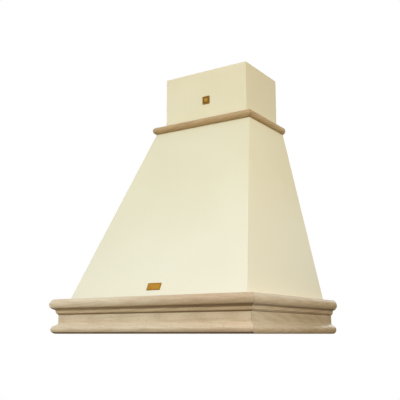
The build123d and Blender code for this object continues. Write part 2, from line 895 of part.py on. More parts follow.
for name, side in hands:
    outer_x = side * scroll_width / 2
    with BuildPart() as side_plate:
        with BuildSketch(fan_plane.offset(outer_x)):
            add(plate_side)
            Circle(inlet_radius, mode=Mode.SUBTRACT)
        extrude(amount=side * sheet)
        with BuildSketch(fan_plane.offset(outer_x)):
            Circle(inlet_radius + sheet)
            Circle(inlet_radius, mode=Mode.SUBTRACT)
        extrude(amount=-side * inlet_lip)
        if side == 1:
            screw_holes(bracket_seats, machine_shank, machine_length)
    finish(side_plate, f"blower_side_{name}")

with BuildPart() as impeller:
    with BuildSketch(fan_plane.offset(-fan_disc / 2)):
        Circle(fan_radius - disc_inset)
    extrude(amount=fan_disc)
    with BuildSketch(fan_plane.offset(-hub_length / 2)):
        Circle(hub_radius)
    extrude(amount=hub_length)
    with BuildSketch(fan_plane.offset(-fan_width / 2)):
        with PolarLocations((fan_radius + fan_inner) / 2, fan_blades):
            Rectangle(blade_chord, blade_thickness, rotation=blade_angle)
    extrude(amount=fan_width)
    for start in (-fan_width / 2, fan_width / 2 - fan_disc):
        with BuildSketch(fan_plane.offset(start)):
            Circle(fan_radius)
            Circle(fan_inner, mode=Mode.SUBTRACT)
        extrude(amount=fan_disc)
    with BuildSketch(fan_plane.offset(-hub_length)):
        Circle(shaft_radius)
    extrude(amount=2 * hub_length, mode=Mode.SUBTRACT)
finish(impeller, "impeller")

with BuildPart() as motor_shaft:
    with BuildSketch(fan_plane.offset(-hub_length / 2)):
        Circle(shaft_radius)
    extrude(amount=hub_length / 2 + motor_setback + motor_bore - shaft_end_gap)
finish(motor_shaft, "motor_shaft")

with BuildPart() as motor_body:
    with BuildSketch(fan_plane.offset(motor_setback)):
        Circle(motor_radius)
    extrude(amount=motor_length)
    chamfer(motor_body.edges().filter_by(GeomType.CIRCLE), motor_bevel)
    with BuildSketch(fan_plane.offset(motor_setback)):
        Circle(shaft_radius + shaft_fit)
    extrude(amount=motor_bore, mode=Mode.SUBTRACT)
finish(motor_body, "motor_body")

with BuildPart() as motor_bracket:
    clamp_inner = motor_radius + clamp_gap
    clamp_outer = clamp_inner + clamp_wall
    with BuildSketch(fan_plane.offset(bracket_x)):
        Circle(clamp_outer)
        Circle(clamp_inner, mode=Mode.SUBTRACT)
    extrude(amount=clamp_length)
    arm_start = motor_radius + clamp_wall / 2
    with BuildSketch(fan_plane.offset(bracket_x)):
        with PolarLocations((arm_start + arm_reach) / 2, len(arm_angles), start_angle=arm_angles[0]):
            Rectangle(arm_reach - arm_start, arm_width)
    extrude(amount=arm_sheet)
    screw_holes(bracket_seats, machine_shank, machine_length)
finish(motor_bracket, "motor_bracket")


# ---------------------------------------------------------------- outlet spigot and flaps

duct_axis = Plane(origin=(0, -duct_setback, canopy_top))

with BuildPart() as outlet_spigot:
    with BuildSketch(duct_axis):
        Rectangle(spigot_flange, spigot_flange)
    extrude(amount=flange_sheet)
    with BuildSketch(duct_axis):
        Circle(duct_radius)
    extrude(amount=spigot_height)
    with BuildSketch(duct_axis):
        Circle(duct_radius - duct_wall)
    extrude(amount=spigot_height, mode=Mode.SUBTRACT)
    stop_head = flap_rise - flap_sheet / 2 - stop_gap
    with BuildSketch(duct_axis.offset(stop_head - stop_height)):
        stop_circle = duct_radius - duct_wall / 2 - stop_depth / 2
        with PolarLocations(stop_circle, stop_count, start_angle=180 / stop_count):
            Rectangle(stop_depth, stop_width)
    extrude(amount=stop_height)
    for side in (-1, 1):
        pin_plane = Plane(origin=(side * flap_hinge_offset, -duct_setback, flap_level), z_dir=(0, 1, 0))
        with BuildSketch(pin_plane):
            Circle(flap_pin)
        extrude(amount=duct_radius, both=True, mode=Mode.SUBTRACT)
    screw_holes(spigot_seats, wood_shank, deck_screw_length)
finish(outlet_spigot, "outlet_spigot")

with BuildPart() as damper_pins:
    pin_half = sqrt(duct_radius**2 - (flap_hinge_offset + flap_pin) ** 2)
    for side in (-1, 1):
        pin_plane = Plane(origin=(side * flap_hinge_offset, -duct_setback, flap_level), z_dir=(0, 1, 0))
        with BuildSketch(pin_plane):
            Circle(flap_pin)
        extrude(amount=pin_half, both=True)
finish(damper_pins, "damper_pins")

for name, side in hands:
    pin_plane = Plane(origin=(side * flap_hinge_offset, -duct_setback, flap_level), z_dir=(0, 1, 0))
    with BuildPart() as flap:
        with BuildSketch(duct_axis.offset(flap_rise - flap_sheet / 2)):
            Circle(flap_radius)
            with Locations((side * (flap_hinge_offset - duct_radius), 0)):
                Rectangle(2 * duct_radius, 2 * duct_radius, mode=Mode.SUBTRACT)
        extrude(amount=flap_sheet)
        with BuildSketch(pin_plane):
            Circle(flap_sleeve)
        extrude(amount=flap_sleeve_length / 2, both=True)
        with BuildSketch(pin_plane):
            Circle(flap_pin + pin_fit)
        extrude(amount=duct_radius, both=True, mode=Mode.SUBTRACT)
    finish(flap, f"damper_flap_{name}")


# ---------------------------------------------------------------- electrical

box_x = (filter_hole_half + opening_half - ledge_section) / 2
box_plane = Plane(origin=(box_x, -filter_hole_rear - box_setback, pan_top))

with BuildPart() as junction_box:
    with BuildSketch(box_plane):
        RectangleRounded(box_width, box_length, box_corner)
    extrude(amount=box_height)
    with BuildSketch(box_plane.offset(box_wall)):
        RectangleRounded(box_width - 2 * box_wall, box_length - 2 * box_wall, box_corner - box_wall)
    extrude(amount=box_height, mode=Mode.SUBTRACT)
finish(junction_box, "junction_box")

with BuildPart() as junction_lid:
    with BuildSketch(box_plane.offset(box_height)):
        RectangleRounded(box_width, box_length, box_corner)
    extrude(amount=box_wall)
finish(junction_lid, "junction_lid")

with BuildPart() as cable_gland:
    gland_plane = Plane(origin=(gland_offset, -gland_setback, canopy_top))
    lower_nut = -deck_thickness - gland_nut_height
    with BuildSketch(gland_plane.offset(lower_nut - gland_tail)):
        Circle(gland_thread)
    extrude(amount=gland_length)
    for start in (0, lower_nut):
        with BuildSketch(gland_plane.offset(start)):
            RegularPolygon(gland_nut, 6)
        extrude(amount=gland_nut_height)
    with BuildSketch(gland_plane.offset(lower_nut - gland_tail)):
        Circle(gland_bore)
    extrude(amount=gland_length, mode=Mode.SUBTRACT)
finish(cable_gland, "cable_gland")


# ---------------------------------------------------------------- screws

with BuildPart() as wood_screws:
    screws(pan_seats, wood_shank, wood_head, wood_length)
    screws(flange_seats, wood_shank, wood_head, deck_screw_length)
    screws(spigot_seats, wood_shank, wood_head, deck_screw_length)
finish(wood_screws, "wood_screws")

with BuildPart() as machine_screws:
    screws(fascia_seats, machine_shank, machine_head, machine_length)
    screws(bracket_seats, machine_shank, machine_head, machine_length)
finish(machine_screws, "machine_screws")
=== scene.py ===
from math import atan2, cos, pi, radians, sin

import bmesh
import bpy
from mathutils import Matrix, Vector


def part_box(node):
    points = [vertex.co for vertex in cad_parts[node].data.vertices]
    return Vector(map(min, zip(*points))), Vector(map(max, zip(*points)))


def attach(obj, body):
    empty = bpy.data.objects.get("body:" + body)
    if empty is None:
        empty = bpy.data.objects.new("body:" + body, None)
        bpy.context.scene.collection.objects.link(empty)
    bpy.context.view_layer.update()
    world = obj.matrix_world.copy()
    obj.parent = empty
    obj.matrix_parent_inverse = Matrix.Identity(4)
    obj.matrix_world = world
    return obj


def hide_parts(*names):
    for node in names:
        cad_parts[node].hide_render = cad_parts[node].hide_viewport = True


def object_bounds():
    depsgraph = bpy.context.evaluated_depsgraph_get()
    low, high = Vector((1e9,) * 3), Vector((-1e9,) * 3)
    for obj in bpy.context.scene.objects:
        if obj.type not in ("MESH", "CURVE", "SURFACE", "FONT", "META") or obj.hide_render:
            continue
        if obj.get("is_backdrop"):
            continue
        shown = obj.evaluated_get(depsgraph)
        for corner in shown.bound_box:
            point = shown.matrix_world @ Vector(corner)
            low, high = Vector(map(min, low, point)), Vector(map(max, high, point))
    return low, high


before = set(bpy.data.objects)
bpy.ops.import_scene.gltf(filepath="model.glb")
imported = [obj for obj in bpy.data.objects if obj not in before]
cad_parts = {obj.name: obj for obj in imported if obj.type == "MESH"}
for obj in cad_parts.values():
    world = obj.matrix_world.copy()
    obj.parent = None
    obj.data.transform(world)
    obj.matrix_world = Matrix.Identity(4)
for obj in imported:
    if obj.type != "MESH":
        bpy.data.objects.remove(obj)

# The finishes and the small fittings of a wall-hung cooker hood with a wooden casing, in metres.
# +Z is up, +X to the right when facing the wall, +Y into the wall.

cad_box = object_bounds()
up = (0, 0, 1)
bpy.ops.object.select_all(action="DESELECT")


# ---------------------------------------------------------------- node trees written as sums

class Socket:
    """An output in a node tree; a sum written with it adds the Math nodes that it needs."""

    def __init__(self, board, socket):
        self.board = board
        self.socket = socket

    def math(self, operation, first, second=0.0):
        return self.board.node("Math", {"operation": operation}, {0: first, 1: second})

    def __add__(self, other):
        return self.math("ADD", self, other)

    def __radd__(self, other):
        return self.math("ADD", other, self)

    def __sub__(self, other):
        return self.math("SUBTRACT", self, other)

    def __rsub__(self, other):
        return self.math("SUBTRACT", other, self)

    def __mul__(self, other):
        return self.math("MULTIPLY", self, other)

    def __rmul__(self, other):
        return self.math("MULTIPLY", other, self)

    def __abs__(self):
        return self.math("ABSOLUTE", self)

    def sine(self):
        return self.math("SINE", self)


class Board:
    """A node tree, cleared and then built by calls."""

    def __init__(self, tree):
        self.tree = tree
        tree.nodes.clear()

    def node(self, kind, settings=None, inputs=None, output=0):
        """Add a node; inputs gives a value or a link to each socket that it names or numbers."""
        made = self.tree.nodes.new("ShaderNode" + kind)
        for name, setting in (settings or {}).items():
            setattr(made, name, setting)
        for name, value in (inputs or {}).items():
            socket = made.inputs[name]
            if isinstance(value, Socket):
                self.tree.links.new(value.socket, socket)
            elif socket.type == "RGBA":
                socket.default_value = (*value, 1)
            else:
                socket.default_value = value
        return Socket(self, made.outputs[output]) if made.outputs else None

    def ease(self, value, low, high, start=0.0, end=1.0):
        """A smooth change from start to end as the value goes from low to high."""
        return self.node(
            "MapRange",
            {"interpolation_type": "SMOOTHSTEP"},
            {"Value": value, "From Min": low, "From Max": high, "To Min": start, "To Max": end},
        )

    def mix(self, amount, ground, color, how="MIX"):
        """An amount of a colour on a ground colour."""
        settings = {"data_type": "RGBA", "blend_type": how}
        return self.node("Mix", settings, {0: amount, 6: ground, 7: color}, output=2)

    def lay(self, ground, color, pattern, low, high, most=1.0):
        """Lay a colour on a ground, from none of it where a pattern is low to the most where high."""
        return self.mix(self.ease(pattern, low, high, 0.0, most), ground, color)

    def vector(self, operation, first, second=(0, 0, 0), output=0):
        return self.node("VectorMath", {"operation": operation}, {0: first, 1: second}, output)

    def length(self, vector):
        return self.vector("LENGTH", vector, output="Value")

    def stretch(self, place, scale):
        return self.vector("MULTIPLY", place, scale)

    def turn(self, place, angles, shift=(0, 0, 0)):
        return self.node("Mapping", {}, {"Vector": place, "Rotation": angles, "Location": shift})

    def along(self, place, axis):
        """One coordinate of a place, as a number."""
        return self.node("SeparateXYZ", {}, {"Vector": place}, output=axis)

    def noise(self, place, scale, detail=2.0, roughness=0.5):
        inputs = {"Vector": place, "Scale": scale, "Detail": detail, "Roughness": roughness}
        return self.node("TexNoise", {}, inputs)

    def streaks(self, trunk, lengthwise, scale, detail=2.0, roughness=0.5):
        """Noise drawn out along a trunk; lengthwise is how fine it stays that way, with 1 across."""
        return self.noise(self.stretch(trunk, (lengthwise, 1, 1)), scale, detail, roughness)

    def crystals(self, place, scale, feature="F1", randomness=1.0, output=0):
        """A net of cells, as the distance to their middles or edges or as a colour for each."""
        inputs = {"Vector": place, "Scale": scale, "Randomness": randomness}
        return self.node("TexVoronoi", {"feature": feature}, inputs, output)


class Finish(Board):
    """A material; place is where a point lies on its piece, in metres."""

    def __init__(self, name):
        self.material = bpy.data.materials.new(name)
        self.material.use_nodes = True
        super().__init__(self.material.node_tree)
        self.place = self.node("TexCoord", output="Object")

    def facing(self, way):
        """How squarely the surface looks one way, from -1 to 1."""
        normal = self.node("TexCoord", output="Normal")
        return self.vector("DOT_PRODUCT", normal, way, output="Value")

    def surface(self, color, roughness, metallic=0.0, relief=None, depth=0.0, **constants):
        """Close the material; relief is a height from 0 to 1 that stands for depth in metres."""
        inputs = {"Base Color": color, "Roughness": roughness, "Metallic": metallic}
        for name, value in constants.items():
            inputs[name.replace("_", " ")] = value
        if relief is not None:
            bump = {"Height": relief, "Distance": depth, "Strength": 1.0}
            inputs["Normal"] = self.node("Bump", {}, bump)
        shader = self.node("BsdfPrincipled", {}, inputs)
        self.node("OutputMaterial", {}, {"Surface": shader})
        return self.material


def shade(red, green, blue):
    """A colour given as it looks on a screen, 0 to 255, as linear light."""
    return tuple(((value / 255 + 0.055) / 1.055) ** 2.4 for value in (red, green, blue))


def times(color, factor):
    """A colour made darker or paler."""
    return tuple(value * factor for value in color)


# ---------------------------------------------------------------- wood

grain_turns = {"x": (0, 0, 0), "y": (0, 0, -pi / 2), "z": (0, pi / 2, 0)}
ring_sway = 0.012                       # how far a growth ring strays from a circle
ply = 0.0015                            # thickness of one ply
tint_fade = 0.001                       # height over which a band of painted shade fades at its foot and head
pore_brown = shade(126, 88, 58)
fleck_brown = shade(148, 102, 68)
# colour of the painted shade lines under the rolls and along the lower edges
painted_groove_shade = shade(66, 44, 20)
mitre_brown = shade(88, 64, 42)


def sawn_board(finish, grain, tilt, pith, seed, ring_width):
    """Rings, bands, fibre, pores and patches of a board sawn from a trunk.

    Grain is the axis that the trunk lay along, tilt how far it was turned off that axis, pith how
    far off its middle was, and seed moves the board to another part of the pattern.
    """
    lying = finish.turn(finish.place, grain_turns[grain])
    trunk = finish.turn(lying, (0, *tilt), (seed, seed / 7, seed / 5))
    pith_place = (0, seed / 7 + pith[0], seed / 5 + pith[1])
    from_pith = finish.vector("SUBTRACT", finish.stretch(trunk, (0, 1, 1)), pith_place)
    radius = finish.length(from_pith) + finish.streaks(trunk, 0.12, 14) * ring_sway
    return {
        "trunk": trunk,
        "ring": (radius * (2 * pi / ring_width)).sine() * 0.5 + 0.5,
        "band": finish.streaks(trunk, 0.04, 150),
        "fibre": finish.streaks(trunk, 0.03, 620, detail=3.0, roughness=0.6),
        "pores": finish.ease(finish.streaks(trunk, 0.08, 1100, detail=1.0), 0.64, 0.74),
        "patch": finish.streaks(trunk, 0.3, 12, detail=1.5),
    }


def beech(name, grain, tilt, pith, seed, tones, mitre, ring_width=0.0042, painted_shade=(), quirks=()):
    """Planed, unfinished beech; tones are its pale, brown and rosy colours.

    Mitre places the corner joints' dark lines, each of the painted_shade bands darkens the board as
    painted shade along its length between two heights, and quirks are painted shade in narrow lines.
    """
    finish = Finish(name)
    wood = sawn_board(finish, grain, tilt, pith, seed, ring_width)
    height = finish.along(finish.place, "Z")
    pale, brown, rosy = tones
    color = finish.lay(pale, rosy, wood["patch"], 0.42, 0.66, 0.6)
    color = finish.mix(wood["ring"] * wood["ring"] * 0.3, color, brown)
    color = finish.lay(color, brown, wood["band"], 0.48, 0.72, 0.36)
    color = finish.lay(color, brown, wood["fibre"], 0.5, 0.8, 0.42)
    color = finish.mix(wood["pores"] * 0.45, color, pore_brown)
    flecks = finish.streaks(wood["trunk"], 0.16, 620, detail=0.5)
    color = finish.lay(color, fleck_brown, flecks, 0.68, 0.8, 0.3)
    # Painted shade: each band darkens the wood along its length between two heights.
    for axis, near, far, foot, head, tint in painted_shade:
        lengthwise = finish.ease(finish.along(finish.place, axis), near, far)
        over_foot = finish.ease(height, foot, foot + tint_fade)
        under_head = finish.ease(height, head, head + tint_fade, 1.0, 0.0)
        color = finish.mix(lengthwise * (over_foot * under_head), color, tint, "MULTIPLY")
    # Painted shade: narrow dark lines under the rolls and along the lower edge, kept off faces looking
    # down.
    off_underside = finish.ease(finish.facing(up), -0.98, -0.85)
    for level, half_width, strength in quirks:
        shadow = finish.ease(abs(height - level), half_width * 0.3, half_width, strength, 0.0)
        color = finish.mix(shadow * off_underside, color, painted_groove_shade)
    half, depth, line = mitre
    across = abs(finish.along(finish.place, "X")) - half
    behind = abs(finish.along(finish.place, "Y")) - depth
    color = finish.mix(finish.ease(abs(across - behind), 0, line, 0.75, 0.0), color, mitre_brown)
    relief = 0.6 - wood["pores"] * 0.5 + wood["fibre"] * 0.3
    rough = finish.ease(wood["fibre"], 0.3, 0.7, 0.52, 0.68)
    return finish.surface(color, rough, relief=relief, depth=0.00012, Specular_IOR_Level=0.35)


def softwood(name, grain, seed):
    """Sawn pine for the battens and ledges inside."""
    finish = Finish(name)
    wood = sawn_board(finish, grain, tilt=(0.02, 0.03), pith=(0.05, 0.03), seed=seed, ring_width=0.006)
    color = finish.lay(shade(222, 193, 146), shade(184, 136, 84), wood["ring"], 0.35, 1.0, 0.6)
    color = finish.lay(color, shade(206, 166, 112), wood["patch"], 0.4, 0.7, 0.5)
    color = finish.lay(color, shade(168, 126, 80), wood["fibre"], 0.45, 0.8, 0.4)
    from_knot = finish.crystals(finish.stretch(wood["trunk"], (0.7, 1, 1)), 9)
    color = finish.mix(finish.ease(from_knot, 0.04, 0.09, 0.8, 0.0), color, shade(104, 66, 40))
    relief = wood["fibre"] * 0.5 + wood["ring"] * 0.5
    rough = finish.ease(wood["fibre"], 0.3, 0.7, 0.6, 0.78)
    return finish.surface(color, rough, relief=relief, depth=0.0002)


def plywood():
    """Birch plywood: a plain face veneer, and plies that show in the edges."""
    finish = Finish("birch_plywood")
    wood = sawn_board(finish, "x", tilt=(0.0, 0.01), pith=(0.3, 0.2), seed=0.9, ring_width=0.02)
    face = finish.lay(shade(214, 188, 148), shade(186, 152, 108), wood["ring"], 0.2, 1.0, 0.3)
    face = finish.lay(face, shade(170, 136, 96), wood["fibre"], 0.45, 0.8, 0.35)
    plies = (finish.along(finish.place, "Z") * (pi / ply)).sine()
    edge = finish.lay(shade(196, 164, 120), shade(140, 104, 68), plies, -0.3, 0.3)
    color = finish.lay(edge, face, abs(finish.facing(up)), 0.4, 0.6)
    rough = finish.ease(wood["fibre"], 0.3, 0.7, 0.55, 0.72)
    return finish.surface(color, rough, relief=wood["fibre"], depth=0.00015)


def lacquer(name, outward, seed, paler):
    """Satin cream lacquer on the outer face and the edges of a board, with bare wood behind."""
    finish = Finish(name)
    wood = sawn_board(finish, "z", tilt=(0.02, 0.01), pith=(0.12, 0.2), seed=seed, ring_width=0.012)
    height = finish.along(finish.place, "Z")
    mottle = finish.noise(finish.place, 5)
    # paler makes some boards' cream paler as painted light.
    cream, ivory = times(shade(222, 213, 177), paler), times(shade(224, 216, 182), paler)
    color = finish.lay(ivory, cream, mottle, 0.35, 0.65)
    # Painted light and shade: paler towards the foot of a board, darker above 0.62 m up the chimney.
    color = finish.mix(finish.ease(height, 0.1, 0.5, 0.8, 0.0), color, shade(225, 219, 195))
    color = finish.mix(finish.ease(height, 0.62, 0.75), color, (0.97, 0.935, 0.9), "MULTIPLY")
    color = finish.lay(color, shade(214, 204, 168), wood["band"], 0.5, 0.75, 0.08)
    bare = finish.lay(shade(198, 170, 130), shade(164, 132, 94), wood["fibre"], 0.4, 0.75, 0.5)
    painted = finish.ease(finish.facing(outward), -0.25, 0.05)
    color = finish.mix(painted, bare, color)
    peel = finish.noise(finish.place, 420, detail=1.0)
    relief = peel * 0.6 + wood["fibre"] * 0.25 + wood["band"] * 0.4
    satin = finish.ease(mottle, 0.3, 0.7, 0.36, 0.42)
    rough = painted * satin + (1 - painted) * 0.72
    return finish.surface(color, rough, relief=relief, depth=0.00006, Specular_IOR_Level=0.45)


# ---------------------------------------------------------------- metals

def brushed_steel(name, tone, grain_scale, roughness, spun_round=None):
    """Metal with a fine brushed grain and faint wipe marks, or spun in rings round an upright axis.

    The ring pattern serves a pair that stands the same way left and right of the middle.
    """
    finish = Finish(name)
    grain_place = finish.stretch(finish.place, grain_scale)
    if spun_round:
        aside = finish.vector("ABSOLUTE", finish.stretch(finish.place, (1, 1, 0)))
        from_axis = finish.vector("SUBTRACT", aside, (abs(spun_round.x), abs(spun_round.y), 0))
        spun = {0: finish.length(from_axis), 1: finish.along(grain_place, "Z")}
        grain_place = finish.node("CombineXYZ", {}, spun)
    brush = finish.noise(grain_place, 900, roughness=0.6)
    smear = finish.noise(finish.place, 14, detail=3.0)
    darker = times(tone, 0.78)
    color = finish.lay(tone, darker, brush, 0.3, 0.75, 0.6)
    color = finish.lay(color, darker, smear, 0.45, 0.75, 0.3)
    rough = finish.ease(brush, 0.3, 0.7, roughness - 0.06, roughness + 0.08)
    rough = rough + finish.ease(smear, 0.4, 0.7, 0.0, 0.08)
    return finish.surface(color, rough, metallic=1.0, relief=brush, depth=0.00003)


def galvanised():
    """Zinc-coated sheet with its crystal spangle."""
    finish = Finish("galvanised_sheet")
    spangle = finish.crystals(finish.place, 110, output="Color")
    tone = finish.node("RGBToBW", {}, {"Color": spangle})
    seams = finish.crystals(finish.place, 110, "DISTANCE_TO_EDGE")
    dull = finish.noise(finish.place, 20, detail=3.0)
    color = finish.mix(tone, shade(150, 156, 160), shade(194, 198, 200))
    color = finish.lay(color, shade(128, 132, 134), dull, 0.45, 0.75, 0.35)
    rough = 0.3 + tone * 0.22 + finish.ease(dull, 0.4, 0.7, 0.0, 0.12)
    relief = finish.ease(seams, 0, 0.06)
    return finish.surface(color, rough, metallic=0.95, relief=relief, depth=0.00002)


def brass():
    """Lacquered brass with a brushed grain and darker clouds."""
    finish = Finish("plate_brass")
    brush = finish.noise(finish.stretch(finish.place, (0.05, 1, 1)), 2600)
    cloud = finish.noise(finish.place, 260, detail=2.5)
    color = finish.lay(shade(169, 122, 24), shade(151, 106, 18), brush, 0.3, 0.7, 0.5)
    color = finish.lay(color, shade(131, 89, 16), cloud, 0.45, 0.7, 0.5)
    rough = finish.ease(brush, 0.3, 0.7, 0.52, 0.6)
    return finish.surface(color, rough, metallic=0.7, relief=brush, depth=0.00001)


def patina():
    """Darkened, hammered brass for the channel in a plate."""
    finish = Finish("brass_patina")
    hammer = finish.crystals(finish.place, 900, "SMOOTH_F1")
    color = finish.lay(shade(48, 38, 14), shade(98, 76, 24), hammer, 0.1, 0.6)
    rough = finish.ease(hammer, 0.1, 0.6, 0.6, 0.42)
    return finish.surface(color, rough, metallic=0.7, relief=hammer, depth=0.0001)


def foil():
    """Thin expanded aluminium foil: a net of small slits that lets the next layer show."""
    finish = Finish("aluminium_foil")
    slit_place = finish.stretch(finish.place, (0.55, 1, 0.2))
    from_strand = finish.crystals(slit_place, 420, "DISTANCE_TO_EDGE", randomness=0.35)
    crease = finish.noise(finish.place, 260, detail=3.0)
    color = finish.lay(shade(150, 152, 154), shade(206, 208, 210), crease, 0.3, 0.7)
    rough = finish.ease(crease, 0.3, 0.7, 0.28, 0.44)
    net = finish.ease(from_strand, 0.16, 0.2, 1.0, 0.0)
    return finish.surface(color, rough, metallic=0.95, relief=crease, depth=0.0003, Alpha=net)


# ---------------------------------------------------------------- plastics, paint, glass, felt

def moulded_plastic(name, tone, roughness, printed=None):
    """Moulded plastic with a fine spark-eroded skin, faint dust, and a mark printed underneath."""
    finish = Finish(name)
    skin = finish.noise(finish.place, 2400)
    dust = finish.noise(finish.place, 30, detail=3.0)
    dusty = tuple(value * 1.35 + 0.004 for value in tone)
    color = finish.lay(tone, dusty, dust, 0.45, 0.75, 0.5)
    if printed:
        underside = finish.ease(finish.facing(up), -0.9, -0.8, 1.0, 0.0)
        color = finish.mix(underside * printed(finish), color, shade(28, 28, 30))
    rough = finish.ease(skin, 0.3, 0.7, roughness - 0.05, roughness + 0.06)
    return finish.surface(color, rough, relief=skin, depth=0.00004)


def motor_paint():
    """Black stoved paint on a motor casing, chipped grey in places."""
    finish = Finish("motor_paint")
    bare = finish.ease(finish.noise(finish.place, 160, detail=4.0, roughness=0.7), 0.66, 0.7)
    color = finish.mix(bare, shade(34, 35, 38), shade(150, 150, 148))
    peel = finish.noise(finish.place, 800, detail=1.0)
    rough = finish.ease(peel, 0.3, 0.7, 0.34, 0.46)
    return finish.surface(color, rough, metallic=bare * 0.9, relief=peel, depth=0.00005)


def frosted_glass(name, clear, milky, fineness, roughness, depth, **constants):
    """White glass with a fine frosted skin; roughness is its lowest and its highest."""
    finish = Finish(name)
    frost = finish.noise(finish.place, fineness)
    color = finish.lay(clear, milky, frost, 0.3, 0.7)
    rough = finish.ease(frost, 0.3, 0.7, *roughness)
    return finish.surface(color, rough, relief=frost, depth=depth, **constants)


def felt():
    """Grey wool felt."""
    finish = Finish("wool_felt")
    hair = finish.noise(finish.place, 1400, detail=4.0, roughness=0.7)
    color = finish.lay(shade(78, 74, 68), shade(122, 116, 106), hair, 0.3, 0.7)
    rough = finish.ease(hair, 0.3, 0.7, 0.85, 0.97)
    return finish.surface(color, rough, relief=hair, depth=0.0004)


# ---------------------------------------------------------------- the wooden pieces

def dress(node, material):
    """Give a built piece its finish."""
    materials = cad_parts[node].data.materials
    if materials:
        materials[0] = material
    else:
        materials.append(material)


def center(node):
    low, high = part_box(node)
    return (low + high) / 2


def mitre_of(front, line):
    """Half the width and the depth of a mitred set, from its front piece, and its line's width."""
    low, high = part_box(front)
    return high.x, -low.y, line


# A band of painted shade: its axis, where it starts and where it is full along that axis, its foot
# and head, and the colour it multiplies the wood by. A quirk, a line of painted shade: its height,
# half its width, and how strong its shade is.
under, over = -0.01, 0.2                # heights below and above the whole cornice
whole_front = ("X", -0.4, -0.3)         # full all along the front moulding
whole_side = ("Y", -0.6, -0.5)          # full all along a side moulding
front_tones = (shade(221, 204, 175), shade(188, 163, 129), shade(217, 193, 166))
# Painted shade on the front: darker to the right, most on the top roll, under it and at the foot.
front_painted_shade = (
    ("X", -0.25, 0.2, 0.058, over, (0.84, 0.79, 0.74)),
    ("X", -0.1, 0.3, under, over, (0.96, 0.91, 0.86)),
    (*whole_front, 0.046, 0.066, (0.94, 0.88, 0.79)),
    (*whole_front, under, 0.011, (0.91, 0.87, 0.84)),
)
# Painted shade lines under the top roll, under the band, and along the bottom edge.
front_quirks = ((0.0615, 0.0046, 0.6), (0.0492, 0.0024, 0.62), (0.0, 0.006, 0.99))
# Painted shade: the side mouldings' tones are darker than the front's, for the light that falls there.
shaded_side_tones = (shade(201, 186, 158), shade(168, 149, 119), shade(196, 176, 146))
# Painted shade on the sides: darker towards the wall, along the foot, and faintly on the frieze.
side_painted_shade = (
    ("Y", -0.45, -0.1, under, over, (0.78, 0.715, 0.63)),
    (*whole_side, under, 0.011, (0.97, 0.93, 0.88)),
    (*whole_side, 0.018, 0.046, (0.965, 0.99, 0.99)),
)
# Fainter painted shade lines under the top roll, under the band, and along the bottom edge.
side_quirks = ((0.062, 0.0026, 0.25), (0.0485, 0.0016, 0.25), (0.0, 0.003, 0.25))
cornice_mitre = mitre_of("cornice_front", 0.0006)
dress("cornice_front", beech(
    "beech_front_moulding", "x", tilt=(0.03, 0.045), pith=(0.02, 0.05), seed=0.31,
    tones=front_tones, mitre=cornice_mitre, painted_shade=front_painted_shade, quirks=front_quirks,
))
dress("cornice_right", beech(
    "beech_right_moulding", "y", tilt=(-0.05, 0.035), pith=(0.03, 0.05), seed=0.57, ring_width=0.003,
    tones=shaded_side_tones, mitre=cornice_mitre, painted_shade=side_painted_shade, quirks=side_quirks,
))
dress("cornice_left", beech(
    "beech_left_moulding", "y", tilt=(0.07, 0.04), pith=(0.03, 0.05), seed=0.83,
    tones=shaded_side_tones, mitre=cornice_mitre, painted_shade=side_painted_shade, quirks=side_quirks,
))

collar_front_tones = (shade(194, 163, 117), shade(138, 108, 66), shade(190, 154, 108))
# Painted light: the collar sides' tones are a little paler than its front's, for how light falls
# there.
collar_side_tones = (shade(194, 169, 124), shade(138, 113, 74), shade(186, 157, 115))
collar_mitre = mitre_of("collar_front", 0.0014)
collar_shade_line = (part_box("collar_front")[0].z + 0.0002, 0.0016)    # height and half width of a painted shade line along the collar's foot
# Each run's last number is how strong the painted shade line along its foot is.
collar_runs = (
    ("front", "x", (0.16, 0.12), 1.21, collar_front_tones, 0.4),
    ("right", "y", (0.2, 0.1), 1.47, collar_side_tones, 0.3),
    ("left", "y", (0.16, 0.12), 1.73, collar_side_tones, 0.3),
)
for way, grain, tilt, seed, tones, strength in collar_runs:
    dress(f"collar_{way}", beech(
        f"beech_{way}_collar", grain, tilt, pith=(0.03, 0.03), seed=seed, ring_width=0.0056,
        tones=tones, mitre=collar_mitre, quirks=((*collar_shade_line, strength),),
    ))

# Painted light: how much paler some boards are painted than others, for the light falling on them.
boards_painted_paler = {"chimney_front": 1.06, "canopy_left": 1.04, "canopy_right": 1.04}
outward_ways = {"front": (0, -1, 0), "left": (-1, 0, 0), "right": (1, 0, 0)}
board_seeds = {"canopy": 0.2, "chimney": 0.9, "extension": 1.6}
for part, seed in board_seeds.items():
    for way, outward in outward_ways.items():
        board = f"{part}_{way}"
        dress(board, lacquer(f"cream_lacquer_{board}", outward, seed, boards_painted_paler.get(board, 1.0)))
        seed += 0.23

pine_runs = {
    "rear_rail": "x",
    "wall_batten": "x",
    "hip_battens": "z",
    "glue_blocks": "x",
    "pan_ledges": "x",
    "extension_tie": "x",
    "extension_cleats": "z",
}
for number, (node, grain) in enumerate(pine_runs.items()):
    dress(node, softwood(f"pine_{node}", grain, seed=0.4 + number * 0.37))
dress("top_deck", plywood())


# ---------------------------------------------------------------- the working parts

print_edge = 0.0001                     # width over which a printed edge fades
ring_radius = 0.0022
ring_line = 0.0004                      # half the width of the ring's line
spot_radius = 0.0019
bar_pitch = 0.0024
bar_half_width = 0.0006
bar_half_length = 0.0022
speeds = ("low", "medium", "high")


def stroke(finish, distance, half_width):
    """Full where a distance from a line is under half the line's width."""
    return finish.ease(abs(distance), half_width - print_edge, half_width, 1.0, 0.0)


